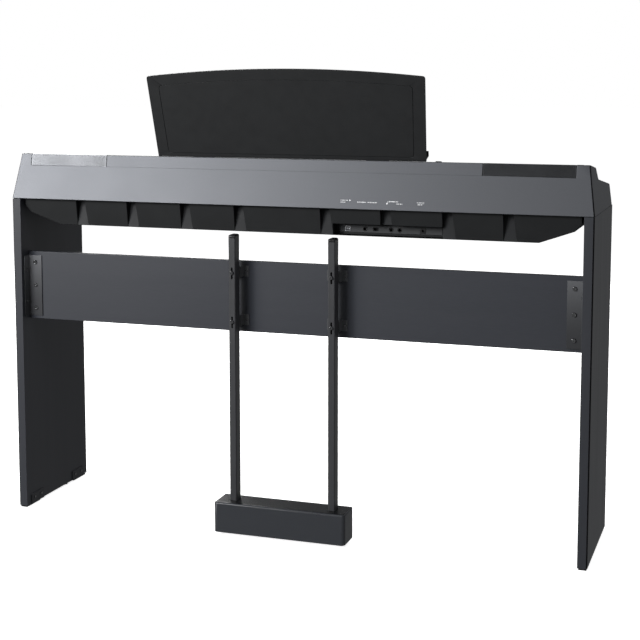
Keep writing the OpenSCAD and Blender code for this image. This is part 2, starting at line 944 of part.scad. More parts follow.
module pedal_rod() color("#a9adb2") back_frame() {
    rod_x_axis([-1.5 * pedal_pitch - 5, rod_y, rod_z], rod_r, 3 * pedal_pitch + 10);
}

module pedal(x) color("#c2a45a") back_frame() {
    difference() {
        union() {
            translate([x, 0, rod_z - pedal_t / 2])
                linear_extrude(pedal_t)
                    union() {
                        polygon([
                            [-pedal_neck / 2, rod_y], [pedal_neck / 2, rod_y], [pedal_neck / 2, -44],
                            [pedal_tip_r, -78], [pedal_tip_r, pedal_tip], [-pedal_tip_r, pedal_tip],
                            [-pedal_tip_r, -78], [-pedal_neck / 2, -44]
                        ]);
                        translate([0, pedal_tip])
                            circle(pedal_tip_r);
                    }
            rod_x_axis([x - pedal_neck / 2, rod_y, rod_z], pedal_eye_r, pedal_neck);
        }
        rod_x_axis([x - pedal_neck, rod_y, rod_z], rod_r + 0.05, 2 * pedal_neck);
    }
}

module soft_pedal() pedal(-pedal_pitch);
module sostenuto_pedal() pedal(0);
module damper_pedal() pedal(pedal_pitch);

// Close-wound springs that pull the pedals up to the roof of the box
module pedal_springs() color("#b6babf") back_frame() {
    low = rod_z + pedal_t / 2 + 0.3;
    high = box_top - box_t - 0.1;
    turns = 9;
    pitch = (high - low - 2) / turns;
    outline = [for (k = [0 : 2 * turns]) [k % 2 == 0 ? 4.2 : 5, low + 1 + k * pitch / 2]];
    for (i = [-1 : 1])
        translate([i * pedal_pitch, spring_y, 0])
            rotate_extrude()
                polygon(concat([[3.4, low], [4.2, low]], outline, [[4.2, high], [3.4, high]]));
}

module post(x) color("#3c3e41") back_frame() {
    low = box_z + 3.1;
    difference() {
        translate([x, post_front + post_size[1] / 2, low])
            linear_extrude(post_top - cap_h - low)
                difference() {
                    rounded_outline(post_size[0], post_size[1], 2.5);
                    rounded_outline(post_size[0] - 2 * post_wall, post_size[1] - 2 * post_wall, 1);
                }
        for (z = clip_z) {
            block(
                [x - 2, post_front - past, z - slot_len / 2 + 2],
                [x + 2, post_front + post_size[1] + past, z + slot_len / 2 - 2]
            );
            for (d = [-1, 1])
                rod_y_axis([x, post_front - past, z + d * (slot_len / 2 - 2)], 2, post_size[1] + 2 * past);
        }
    }
}

module left_post() post(-post_x);
module right_post() post(post_x);

module post_caps() color("#1d1e20") back_frame() {
    for (s = [-1, 1])
        translate([s * post_x, post_front + post_size[1] / 2, post_top - cap_h])
            intersection() {
                linear_extrude(cap_h)
                    rounded_outline(post_size[0], post_size[1], 2.5);
                translate([0, -post_size[1] / 2, 0])
                    along_y(0, post_size[1])
                        translate([0, cap_h - 10])
                            rounded_outline(post_size[0], 20, 5);
                along_x(-post_size[0] / 2, post_size[0])
                    translate([0, cap_h - 10])
                        rounded_outline(post_size[1], 20, 5);
            }
}

// Hat-shaped clips between the board and the posts
module post_clips() color("#232426") back_frame() {
    t = 2;
    depth = post_front + board_in;
    for (s = [-1, 1], z = clip_z)
        difference() {
            translate([s * post_x, -board_in, z - clip_size[1] / 2])
                linear_extrude(clip_size[1])
                    polygon([
                        [-clip_size[0] / 2, 0], [-clip_size[0] / 2, t], [-11, t], [-11, depth],
                        [11, depth], [11, t], [clip_size[0] / 2, t], [clip_size[0] / 2, 0],
                        [9, 0], [9, depth - t], [-9, depth - t], [-9, 0]
                    ]);
            rod_y_axis([s * post_x, -board_in, z + 1], 2.1, depth + past);
            for (d = [-1, 1])
                rod_y_axis([s * post_x + d * 18, -board_in - past, z], 1.8, t + 2 * past);
        }
}

bottom_case();
top_case();
left_end_block();
right_end_block();
key_slip();
key_frame();
key_cushions();
contact_board();
main_board();
jack_plate();
usb_socket();
pedal_socket();
phone_jacks();
power_inlet();
headphone_jacks();
left_speaker();
right_speaker();
left_grille();
right_grille();
case_screws();
music_rest();
white_keys();
black_keys();
key_c();
key_c_sharp();
key_d();
key_d_sharp();
key_e();
key_f();
key_f_sharp();
key_g();
key_g_sharp();
key_a();
key_a_sharp();
key_b();
power_button();
volume_slider();
metronome_button();
rhythm_button();
record_button();
play_button();
left_side_panel();
right_side_panel();
back_board();
left_bracket();
right_bracket();
stand_bolts();
floor_glides();
corner_plates();
pedal_box();
pedal_base_plate();
soft_pedal();
sostenuto_pedal();
damper_pedal();
pedal_rod();
pedal_springs();
left_post();
right_post();
post_clips();
post_caps();
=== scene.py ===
"""Digital piano on a two-panel stand, with a three-pedal unit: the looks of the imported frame."""

import json
import math
import random

import bmesh
import bpy
from mathutils import Matrix, Vector


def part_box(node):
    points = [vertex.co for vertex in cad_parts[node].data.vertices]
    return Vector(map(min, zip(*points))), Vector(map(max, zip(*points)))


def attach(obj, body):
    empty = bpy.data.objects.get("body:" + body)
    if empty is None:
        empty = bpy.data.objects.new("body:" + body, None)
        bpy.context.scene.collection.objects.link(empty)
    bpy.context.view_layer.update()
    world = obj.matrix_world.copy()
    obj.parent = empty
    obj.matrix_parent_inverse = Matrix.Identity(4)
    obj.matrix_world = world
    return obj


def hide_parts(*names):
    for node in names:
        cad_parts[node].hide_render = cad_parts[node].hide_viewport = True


MM = 0.001
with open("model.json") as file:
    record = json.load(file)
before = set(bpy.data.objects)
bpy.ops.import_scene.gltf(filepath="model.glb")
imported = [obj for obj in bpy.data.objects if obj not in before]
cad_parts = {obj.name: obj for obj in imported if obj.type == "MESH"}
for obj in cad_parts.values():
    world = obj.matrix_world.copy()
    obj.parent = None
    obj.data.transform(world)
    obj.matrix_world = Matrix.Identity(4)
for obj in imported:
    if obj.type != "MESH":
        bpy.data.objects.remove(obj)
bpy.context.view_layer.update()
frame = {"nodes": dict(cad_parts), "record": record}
record = frame["record"]
BODY_OF = {n: body for body, members in record["behaviour"]["bodies"].items() for n in members}
SLOT_OF = {part["node"]: part["material_slot"] for part in record["subparts"]}

# ---- Camera ----

CAMERA_PLACE = (-1.0194, 2.8874, 1.0166)
CAMERA_TURN = 18.706
CAMERA_DIP = 6.261
CAMERA_LENS = 77.44
CAMERA_SHIFT_Y = -0.15
SENSOR_WIDTH = 36
CLIP_END = 200


def make_camera():
    """Stands behind the piano, towards the bass end, and looks along -Y and a little down."""
    data = bpy.data.cameras.new("camera")
    data.lens = CAMERA_LENS
    data.sensor_width = SENSOR_WIDTH
    data.shift_y = CAMERA_SHIFT_Y
    data.clip_end = CLIP_END
    camera = bpy.data.objects.new("camera", data)
    camera.location = CAMERA_PLACE
    camera.rotation_euler = (math.radians(90 - CAMERA_DIP), 0, math.radians(180 + CAMERA_TURN))
    bpy.context.scene.collection.objects.link(camera)
    bpy.context.scene.camera = camera


make_camera()

# ---- Materials ----


class Shader:
    """A node material that is put together one node at a time, in object coordinates."""

    def __init__(self, name, colour, roughness, metallic=0.0, specular=0.5):
        self.material = bpy.data.materials.new(name)
        self.material.use_nodes = True
        self.tree = self.material.node_tree
        self.surface = self.tree.nodes["Principled BSDF"]
        self.colour = colour
        self.roughness = roughness
        self.set("Base Color", (*colour, 1))
        self.set("Roughness", roughness)
        self.set("Metallic", metallic)
        self.set("Specular IOR Level", specular)
        self.place = self.tree.nodes.new("ShaderNodeTexCoord").outputs["Object"]

    def set(self, socket, value):
        """A constant on one of the surface's own sockets."""
        self.surface.inputs[socket].default_value = value

    def node(self, kind, **inputs):
        """A new node of that kind, with each named input fed."""
        made = self.tree.nodes.new("ShaderNode" + kind)
        for name, value in inputs.items():
            self.feed(made.inputs[name.replace("_", " ")], value)
        return made

    def feed(self, socket, value):
        """Links an output to the socket, or sets it to a constant."""
        if isinstance(value, bpy.types.NodeSocket):
            self.tree.links.new(value, socket)
        else:
            socket.default_value = value

    def stretched(self, scale):
        """The place, scaled differently along X, Y and Z, for grain that runs one way."""
        return self.node("Mapping", Vector=self.place, Scale=scale).outputs["Vector"]

    def noise(self, size, detail=3.0, scale=(1, 1, 1)):
        """Noise between 0 and 1 whose lumps are about size metres across."""
        return self.node(
            "TexNoise", Vector=self.stretched(scale), Scale=1 / size, Detail=detail
        ).outputs["Fac"]

    def map_range(self, factor, start, end, low, high):
        """Maps the stretch from start to end to low and high."""
        return self.node(
            "MapRange", Value=factor, From_Min=start, From_Max=end, To_Min=low, To_Max=high
        ).outputs["Result"]

    def between(self, factor, low, high):
        """Maps the middle of a noise, 0.3 to 0.7, to low and high."""
        return self.map_range(factor, 0.3, 0.7, low, high)

    def colour_between(self, factor, first, second):
        """The base colour goes from the first to the second colour with the factor."""
        made = self.node("Mix")
        made.data_type = "RGBA"
        factor_in, first_in, second_in = (made.inputs[i] for i in (0, 6, 7))
        self.feed(factor_in, factor)
        first_in.default_value = (*first, 1)
        second_in.default_value = (*second, 1)
        self.feed(self.surface.inputs["Base Color"], made.outputs[2])

    def tone(self, factor, depth):
        """The base colour goes depth darker and lighter with the factor."""
        dark = [c * (1 - depth) for c in self.colour]
        light = [min(1, c * (1 + depth)) for c in self.colour]
        self.colour_between(self.between(factor, 0, 1), dark, light)

    def haze(self, factor, depth):
        """The roughness goes up and down by depth with the factor."""
        value = self.between(factor, self.roughness - depth, self.roughness + depth)
        self.feed(self.surface.inputs["Roughness"], value)

    def relief(self, factor, height):
        """Bump of that height in metres."""
        bump = self.node("Bump", Height=factor, Distance=height, Strength=1.0)
        self.feed(self.surface.inputs["Normal"], bump.outputs["Normal"])


def moulded(name, colour, roughness, grain=0.0005, relief=0.00003, specular=0.5):
    """Moulded plastic with a fine spark-eroded grain."""
    s = Shader(name, colour, roughness, specular=specular)
    s.tone(s.noise(0.06), 0.08)
    s.haze(s.noise(0.02, 5), 0.04)
    s.relief(s.noise(grain, 2), relief)
    return s.material


def painted(name, colour, roughness, metallic=0.0, peel=0.0018, relief=0.00002, specular=0.5):
    """Sprayed or powder paint, with a faint orange peel whose lumps are peel metres across."""
    s = Shader(name, colour, roughness, metallic, specular)
    s.tone(s.noise(0.0004, 1), 0.07)
    s.haze(s.noise(0.05, 4), 0.03)
    s.relief(s.noise(peel, 2), relief)
    return s.material


def bracket_painted_sheen(low, high):
    """Black paint with a painted sheen: it pales from the bottom of a bracket, at the height low,
    to its top.
    """
    s = Shader("bracket_painted_sheen", (0.036, 0.037, 0.04), 0.4, specular=0.25)
    height = s.node("SeparateXYZ", Vector=s.place).outputs["Z"]
    square = s.node("Math")
    square.operation = "POWER"
    s.feed(square.inputs[0], s.map_range(height, low, high, 0, 1))
    s.feed(square.inputs[1], 2)
    # Painted sheen: lighter towards the top, in place of a reflection
    s.colour_between(square.outputs["Value"], s.colour, (0.11, 0.113, 0.12))
    s.haze(s.noise(0.05, 4), 0.03)
    s.relief(s.noise(0.001, 2), 0.00002)
    return s.material


def laminate(name, colour, along):
    """Black laminate with fine pores that run along one axis."""
    s = Shader(name, colour, 0.42, specular=0.4)
    stretch = [0.06 if i == along else 1 for i in range(3)]
    pores = s.noise(0.0011, 3, stretch)
    s.tone(pores, 0.05)
    s.haze(s.noise(0.03, 4, stretch), 0.02)
    s.relief(pores, 0.00002)
    return s.material


def metal(name, colour, roughness, along=0):
    """Bare metal with fine drawing or polishing lines along one axis."""
    s = Shader(name, colour, roughness, 1.0)
    stretch = [0.04 if i == along else 1 for i in range(3)]
    lines = s.noise(0.0006, 2, stretch)
    s.tone(lines, 0.06)
    s.haze(s.noise(0.008, 4, stretch), 0.06)
    s.relief(lines, 0.000008)
    return s.material


def cover_paint():
    """Satin charcoal with fine metal flake, on the top case and its end blocks."""
    s = Shader("satin_charcoal", (0.079, 0.083, 0.093), 0.47, 0.4)
    s.tone(s.noise(0.0005, 1), 0.1)
    s.haze(s.noise(0.08, 3), 0.008)
    s.relief(s.noise(0.0006, 2), 0.000012)
    return s.material


def felt(name, colour):
    """Matted fibres, or a plain cloth."""
    s = Shader(name, colour, 0.95)
    s.set("Sheen Weight", 0.5)
    s.tone(s.noise(0.0008, 5), 0.25)
    s.relief(s.noise(0.0005, 5), 0.0003)
    return s.material


def board_green():
    """Circuit board: green lacquer with lighter copper lanes under it."""
    s = Shader("board_green", (0.012, 0.09, 0.035), 0.35)
    lanes = s.noise(0.004, 0, (0.25, 1, 1))
    s.tone(lanes, 0.35)
    s.relief(s.between(lanes, 0, 1), 0.00005)
    return s.material


def key_ivory():
    """White key: smooth satin acrylic with a faint cloudiness."""
    s = Shader("key_ivory", (0.82, 0.8, 0.74), 0.28)
    s.tone(s.noise(0.02, 3, (1, 0.15, 1)), 0.012)
    s.haze(s.noise(0.006, 3), 0.025)
    s.relief(s.noise(0.0007, 2, (1, 0.3, 1)), 0.000003)
    return s.material


def key_ebony():
    """Black key: matte ebony look with pores that run along the key."""
    s = Shader("key_ebony", (0.012, 0.012, 0.013), 0.46)
    pores = s.noise(0.0006, 3, (1, 0.06, 1))
    s.tone(pores, 0.3)
    s.haze(s.noise(0.006, 4, (1, 0.2, 1)), 0.06)
    s.relief(pores, 0.00004)
    return s.material


MATERIAL_OF = {
    "lower_case_plastic": moulded(
        "case_black", (0.0126, 0.0134, 0.0142), 0.52, 0.0007, 0.00006, 0.17
    ),
    "cover_satin": cover_paint(),
    "slip_plastic": moulded("slip_black", (0.012, 0.012, 0.013), 0.4),
    "felt": felt("red_felt", (0.35, 0.03, 0.025)),
    "circuit_board": board_green(),
    "bare_steel": metal("bare_steel", (0.55, 0.56, 0.58), 0.28),
    "socket_plastic": moulded("socket_black", (0.008, 0.008, 0.009), 0.35),
    "speaker_black": moulded("speaker_paper", (0.012, 0.012, 0.012), 0.8, 0.0009, 0.0001),
    "grille_mesh": painted("grille_black", (0.055, 0.057, 0.061), 0.34, 0.8),
    "rest_plastic": moulded("rest_black", (0.0115, 0.0122, 0.013), 0.5, 0.0006, 0.00005, 0.27),
    "white_key": key_ivory(),
    "black_key": key_ebony(),
    "button_grey": moulded("button_grey", (0.16, 0.165, 0.175), 0.42),
    "panel_laminate": laminate("panel_laminate", (0.0295, 0.0315, 0.038), 2),
    "black_steel": painted(
        "black_steel", (0.044, 0.0455, 0.0495), 0.45, peel=0.001, relief=0.00003, specular=0.2
    ),
    "bolt_black": metal("bolt_black", (0.26, 0.263, 0.27), 0.16),
    "post_steel": painted("post_steel", (0.034, 0.035, 0.038), 0.38),
    "pedal_box_paint": painted("box_paint", (0.033, 0.0355, 0.041), 0.3, specular=0.35),
    "cap_plastic": moulded("cap_black", (0.008, 0.008, 0.009), 0.26),
    "pedal_brass": metal("pedal_brass", (0.83, 0.61, 0.27), 0.2, 1),
    "glide_rubber": moulded("glide_rubber", (0.01, 0.01, 0.01), 0.7),
}
BOARD_LAMINATE = laminate("board_laminate", (0.031, 0.0335, 0.041), 0)
# Painted shade: near black for the chamfers where dark lines of shade fall at seams and corners
EDGE_SHADE_BLACK = moulded("edge_painted_shade", (0.004, 0.004, 0.0045), 0.6, specular=0.1)
# Painted sheen on both brackets, paler towards their tops
BRACKET_PAINTED_SHEEN = bracket_painted_sheen(*(corner.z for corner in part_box("left_bracket")))
CLIP_PAINT = painted("clip_paint", (0.062, 0.064, 0.068), 0.35, peel=0.001)
# Painted shade: the pedal box's top is much darker than its sides
BOX_TOP_SHADED = painted("box_top", (0.008, 0.0085, 0.0095), 0.22, relief=0.000004, specular=0.09)
# Painted light: a paler copy of the case plastic for the groove backs that tilt up
CASE_FACET_LIT = moulded("case_facet_painted_light", (0.021, 0.022, 0.0235), 0.5, 0.0007, 0.00004, 0.1)
# Painted shade: a darker grey for the line along the back wall's slight crease
CREASE_SHADE_GREY = moulded("crease_painted_shade", (0.04, 0.042, 0.046), 0.6, specular=0.2)
SOCKET_PLATE = moulded("socket_plate", (0.04, 0.0415, 0.044), 0.5, 0.0007, 0.00004, 0.3)
PRINT = painted("print_white", (0.72, 0.73, 0.74), 0.5)
CLOTH = felt("speaker_cloth", (0.006, 0.006, 0.006))

# ---- Ways of making pieces ----

# Angles between two faces: an edge to round, a crease, and faces that count as one
SHARP = math.radians(28)
CREASE = math.radians(2.5)
FLAT = math.radians(0.6)
WELD = 0.002 * MM
# An edge gets its full rounding when it is this many times as long as the rounding is wide
ROOM = 3.0
LEAST_SHARE = 0.4
WIDE = 150 * MM * MM


def new_piece(name, bm, materials, smooth=True, turn_faces=True):
    """An object at the origin with that mesh."""
    mesh = bpy.data.meshes.new(name)
    if turn_faces:
        bmesh.ops.recalc_face_normals(bm, faces=bm.faces)
    bm.to_mesh(mesh)
    bm.free()
    for material in materials:
        mesh.materials.append(material)
    mesh.polygons.foreach_set("use_smooth", [smooth] * len(mesh.polygons))
    piece = bpy.data.objects.new(name, mesh)
    bpy.context.scene.collection.objects.link(piece)
    return piece


def round_edges(piece, width, segments=2):
    """Rounds the weighted edges, and keeps flat faces flat."""
    bevel = piece.modifiers.new("rounding", "BEVEL")
    bevel.limit_method = "WEIGHT"
    bevel.width = width
    bevel.segments = segments
    bevel.use_clamp_overlap = False
    bevel.miter_outer = "MITER_ARC"
    normals = piece.modifiers.new("normals", "WEIGHTED_NORMAL")
    normals.keep_sharp = True


def weigh_edges(bm, width):
    """Marks the edges to round: the sharp ones, if they are long enough for that width.

    A shorter edge stays crisp, and so does a slight crease between wide faces.
    """
    layer = bm.edges.layers.float.new("bevel_weight_edge")
    for edge in bm.edges:
        if len(edge.link_faces) != 2:
            continue
        angle = edge.calc_face_angle(0)
        if angle > SHARP:
            share = min(1, edge.calc_length() / (ROOM * width))
            edge[layer] = share if share > LEAST_SHARE else 0
            edge.smooth = share > LEAST_SHARE
        elif angle > CREASE and min(face.calc_area() for face in edge.link_faces) > WIDE:
            edge.smooth = False


def node_mesh(node):
    """The CAD node's shape as whole faces, in a new bmesh."""
    bm = bmesh.new()
    bm.from_mesh(frame["nodes"][node].data)
    bmesh.ops.remove_doubles(bm, verts=bm.verts, dist=WELD)
    bmesh.ops.dissolve_limit(bm, angle_limit=FLAT, verts=bm.verts, edges=bm.edges)
    return bm


def bridge(bm, first, second):
    """Faces between two closed loops with the same number of points."""
    for i in range(len(first)):
        j = (i + 1) % len(first)
        bm.faces.new((first[i], first[j], second[j], second[i]))


def stands_for(piece, node):
    """The piece takes the CAD node's place and body."""
    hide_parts(node)
    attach(piece, BODY_OF[node])


def rounded_copy(node, width, segments=2, material=None):
    """A piece with the node's shape and rounded edges."""
    bm = node_mesh(node)
    weigh_edges(bm, width)
    piece = new_piece(node + "_shell", bm, [material or MATERIAL_OF[SLOT_OF[node]]])
    round_edges(piece, width, segments)
    stands_for(piece, node)


# How far each node's edges are rounded, in millimetres
ROUNDING = {
    "left_end_block": 1.6,
    "right_end_block": 1.6,
    "key_slip": 0.5,
    "usb_socket": 0.25,
    "pedal_socket": 0.25,
    "phone_jacks": 0.3,
    "power_inlet": 0.3,
    "headphone_jacks": 0.3,
    "floor_glides": 0.6,
    "corner_plates": 0.5,
    "left_post": 0.3,
    "right_post": 0.3,
    "post_caps": 1.2,
    "pedal_base_plate": 0.4,
    "power_button": 0.6,
    "metronome_button": 0.6,
    "rhythm_button": 0.6,
    "record_button": 0.6,
    "play_button": 0.6,
    "volume_slider": 0.6,
}


# The same for the nodes that have a finish of their own; the brackets' has a painted sheen
OWN_FINISH = {
    "back_board": (0.6, BOARD_LAMINATE),
    "jack_plate": (0.3, SOCKET_PLATE),
    "post_clips": (0.5, CLIP_PAINT),
    "left_bracket": (0.6, BRACKET_PAINTED_SHEEN),
    "right_bracket": (0.6, BRACKET_PAINTED_SHEEN),
}
KEY_ROUNDING = {"white_key": 0.7, "black_key": 1.1}


def make_rounded_copies():
    """Every node whose CAD shape only needs rounder edges."""
    for node, width in ROUNDING.items():
        rounded_copy(node, width * MM, segments=3 if width > 1 else 2)
    for node, (width, finish) in OWN_FINISH.items():
        rounded_copy(node, width * MM, material=finish)
    for node, slot in SLOT_OF.items():
        if slot in KEY_ROUNDING:
            rounded_copy(node, KEY_ROUNDING[slot] * MM, segments=3)


make_rounded_copies()

# The side of the middle that the left panel is on, as -1 or 1
LEFT_SIGN = math.copysign(1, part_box("left_side_panel")[0].x)
CASE_ROUND = 0.9 * MM
CASE_END = 16 * MM
CASE_CHAMFER = 2.2 * MM
PANEL_ROUND = 0.5 * MM
PANEL_CHAMFER = 2.6 * MM
BOX_ROUND = 1.2 * MM
BOLT_ROUND = 1.4 * MM
RIM_SHARE = 0.95
RIM_DEPTH = 0.1 * MM
# How much of a face's normal runs along an axis: square on, for the most part, or at a slant
FACING = 0.9
MOSTLY = 0.5
SLANTED = 0.3
GROOVE_BACK = 0.8
GROOVE_TILT = 0.05


def make_lower_case():
    """The backs of the grooves, which tilt up, are smoother than the walls, and painted paler as
    lit.
    """
    bm = node_mesh("bottom_case")
    weigh_edges(bm, CASE_ROUND)
    # Groove backs that tilt up get the painted light
    for face in bm.faces:
        if face.normal.y > GROOVE_BACK and face.normal.z > GROOVE_TILT:
            face.material_index = 1
    piece = new_piece("bottom_case_shell", bm, [MATERIAL_OF["lower_case_plastic"], CASE_FACET_LIT])
    round_edges(piece, CASE_ROUND)
    stands_for(piece, "bottom_case")


def make_top_case():
    """The ends of the back wall have a narrow chamfer, painted near black as shade at the seam."""
    bm = node_mesh("top_case")
    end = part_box("top_case")[1].x - CASE_END

    def is_end(face):
        return abs(face.normal.x) > FACING and abs(face.calc_center_median().x) > end

    def is_wall(face):
        return face.normal.y > MOSTLY and face.calc_area() > WIDE

    corners = [
        e for e in bm.edges
        if len(e.link_faces) == 2
        and any(map(is_end, e.link_faces))
        and any(map(is_wall, e.link_faces))
    ]
    bmesh.ops.bevel(
        bm, geom=corners, offset=CASE_CHAMFER, segments=1, profile=0.5, affect="EDGES", material=1
    )
    weigh_edges(bm, CASE_ROUND)
    layer = bm.edges.layers.float["bevel_weight_edge"]
    for e in bm.edges:
        if any(face.material_index == 1 for face in e.link_faces):
            e[layer] = 0
    piece = new_piece("top_case_shell", bm, [MATERIAL_OF["cover_satin"], EDGE_SHADE_BLACK])
    round_edges(piece, CASE_ROUND)
    stands_for(piece, "top_case")


def make_pedal_box():
    """The top of the box is glossier than its sides, and painted darker as shade."""
    bm = node_mesh("pedal_box")
    weigh_edges(bm, BOX_ROUND)
    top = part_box("pedal_box")[1].z - BOX_ROUND
    # The top faces get the painted shade
    for face in bm.faces:
        if face.normal.z > FACING and face.calc_center_median().z > top:
            face.material_index = 1
    piece = new_piece("pedal_box_shell", bm, [MATERIAL_OF["pedal_box_paint"], BOX_TOP_SHADED])
    round_edges(piece, BOX_ROUND)
    stands_for(piece, "pedal_box")


def make_side_panel(node, outward):
    """A laminated panel whose outer rear corner is a narrow chamfer, painted near black as shade.
    """
    low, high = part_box(node)
    inner, outer = (low.x, high.x) if outward > 0 else (high.x, low.x)
    outline = [
        (inner, low.y), (outer, low.y), (outer, high.y - PANEL_CHAMFER),
        (outer - outward * PANEL_CHAMFER, high.y), (inner, high.y),
    ]
    bm = bmesh.new()
    rings = [[bm.verts.new(Vector((x, y, z))) for x, y in outline] for z in (low.z, high.z)]
    for ring in rings:
        bm.faces.new(ring)
    bridge(bm, *rings)
    bmesh.ops.recalc_face_normals(bm, faces=bm.faces)
    weigh_edges(bm, PANEL_ROUND)
    for face in bm.faces:
        if face.normal.y > SLANTED and abs(face.normal.x) > SLANTED:
            face.material_index = 1
    piece = new_piece(node + "_board", bm, [MATERIAL_OF["panel_laminate"], EDGE_SHADE_BLACK])
    round_edges(piece, PANEL_ROUND)
    stands_for(piece, node)


def islands(bm):
    """The separate solids of a mesh, each as a set of its corners."""
    left = set(bm.verts)
    while left:
        island, reached = set(), [left.pop()]
        while reached:
            vert = reached.pop()
            island.add(vert)
            for edge in vert.link_edges:
                other = edge.other_vert(vert)
                if other in left:
                    left.discard(other)
                    reached.append(other)
        yield island


def weigh_bolt(island, layer):
    """Full weight on the rim of the bolt's head, and a tenth on its other sharp edges."""
    low = Vector([min(v.co[i] for v in island) for i in range(3)])
    high = Vector([max(v.co[i] for v in island) for i in range(3)])
    size, middle = high - low, (low + high) / 2
    axis = max(range(3), key=lambda i: abs(size[i] - size[i - 1]) + abs(size[i] - size[i - 2]))
    across = [i for i in range(3) if i != axis]

    def reach(v):
        return math.hypot(*(v.co[i] - middle[i] for i in across))

    head_r = max(reach(v) for v in island)
    outermost = [v.co[axis] for v in island if reach(v) > RIM_SHARE * head_r]
    first, last = min(outermost), max(outermost)
    top = last if abs(last - high[axis]) < abs(first - low[axis]) else first

    def on_rim(v):
        return reach(v) > RIM_SHARE * head_r and abs(v.co[axis] - top) < RIM_DEPTH

    for edge in {edge for v in island for edge in v.link_edges}:
        if len(edge.link_faces) == 2 and edge.calc_face_angle(0) > SHARP:
            edge[layer] = 1 if all(map(on_rim, edge.verts)) else 0.1


def make_bolts():
    """Button heads: the rim of each head is rounded almost to a dome, the socket stays crisp."""
    bm = node_mesh("stand_bolts")
    layer = bm.edges.layers.float.new("bevel_weight_edge")
    for island in islands(bm):
        weigh_bolt(island, layer)
    piece = new_piece("stand_bolt_heads", bm, [MATERIAL_OF["bolt_black"]])
    round_edges(piece, BOLT_ROUND, segments=4)
    stands_for(piece, "stand_bolts")


make_lower_case()
make_top_case()
make_side_panel("left_side_panel", LEFT_SIGN)
make_side_panel("right_side_panel", -LEFT_SIGN)
make_bolts()
make_pedal_box()

# ---- Planes of the piano ----

SEAT_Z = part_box("left_side_panel")[1].z
BACK_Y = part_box("left_side_panel")[1].y
RIDGE_BACK = Vector((0, BACK_Y - 24 * MM, SEAT_Z + 102 * MM))
RIDGE_FRONT = Vector((0, BACK_Y - 27 * MM, SEAT_Z + 102.5 * MM))
WALL_FOOT = Vector((0, BACK_Y - 0.2 * MM, SEAT_Z + 0.8 * MM))
WALL_CREASE = Vector((0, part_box("left_grille")[1].y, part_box("left_grille")[0].z))
DECK_SLOPE = math.atan2(10, 75)
REST_SLOT = 8 * MM
REST_LEAN = math.radians(14)
PRINT_T = 0.06 * MM
RING_STEPS = 20


def wall_frame():
    """The slanted back wall as seen from behind: local X runs right, Y up the wall, Z out of it."""
    up = (WALL_CREASE - WALL_FOOT).normalized()
    across = Vector((-1, 0, 0))
    turn = Matrix((across, up, across.cross(up))).transposed().to_4x4()
    return Matrix.Translation(WALL_FOOT) @ turn


def deck_frame():
    """Local X runs to the treble, local Y up the deck to the ridge, Z out of it."""
    return Matrix.Translation(RIDGE_FRONT) @ Matrix.Rotation(DECK_SLOPE, 4, "X")


def rest_frame():
    """The music rest's own frame: Z runs up the panel, whose back face is Y = 0."""
    foot = deck_frame() @ Vector((0, -REST_SLOT / math.cos(DECK_SLOPE), 0))
    return Matrix.Translation(foot) @ Matrix.Rotation(-REST_LEAN, 4, "X")


def slab(bm, frame_matrix, outline, low, high):
    """A flat closed shape in a local frame: its outline in local X and Y, from low to high."""
    bottom = [bm.verts.new(frame_matrix @ Vector((x, y, low))) for x, y in outline]
    top = [bm.verts.new(frame_matrix @ Vector((x, y, high))) for x, y in outline]
    bm.faces.new(list(reversed(bottom)))
    bm.faces.new(top)
    bridge(bm, bottom, top)


def box_outline(x, y, w, h):
    """Corners of a rectangle about the middle x, y."""
    left, right = x - w / 2, x + w / 2
    low, high = y - h / 2, y + h / 2
    return [(left, low), (right, low), (right, high), (left, high)]


def ring_slabs(bm, frame_matrix, x, y, r, line, start=0, turn=360):
    """A flat ring, or part of one, as short slabs."""
    for k in range(RING_STEPS):
        a, b = (math.radians(start + turn * (k + i) / RING_STEPS) for i in (0, 1))
        corners = ((r, a), (r + line, a), (r + line, b), (r, b))
        outline = [(x + q * math.cos(t), y + q * math.sin(t)) for q, t in corners]
        slab(bm, frame_matrix, outline, 0, PRINT_T)


# ---- Speaker grilles ----

GRILLE_PITCH = 2.05 * MM
HOLE_SHARE = 0.31
SHEET_T = 0.8 * MM
SHEET_IN = 1.0 * MM
CLOTH_DROP = 0.91 * MM
CLOTH_IN = 0.1 * MM
CELL = ((0, 0), (0.5, 0), (1, 0), (1, 0.5), (1, 1), (0.5, 1), (0, 1), (0, 0.5))


def bent_sheet(stops, counts):
    """A function that places row j along a bent profile, with counts rows between its stops."""

    def at(j):
        for start, end, count in zip(stops, stops[1:], counts):
            if j <= count:
                return start.lerp(end, j / count)
            j -= count
        return stops[-1]

    return at


def perforate(bm, place, columns, rows, solid_rows):
    """Square cells with a round hole in each, apart from the border and the solid rows."""
    grid = {}
    for i in range(columns):
        for j in range(rows):
            rim = []
            for a, b in CELL:
                key = (2 * i + round(2 * a), 2 * j + round(2 * b))
                if key not in grid:
                    grid[key] = bm.verts.new(place(i + a, j + b))
                rim.append(grid[key])
            rim.reverse()
            if i in (0, columns - 1) or j in solid_rows:
                bm.faces.new(rim)
                continue
            ring = []
            for k in range(len(CELL)):
                t = math.radians(180 - 45 * k)
                across, along = HOLE_SHARE * math.cos(t), HOLE_SHARE * math.sin(t)
                ring.append(bm.verts.new(place(i + 0.5 + across, j + 0.5 + along)))
            bridge(bm, rim, ring)


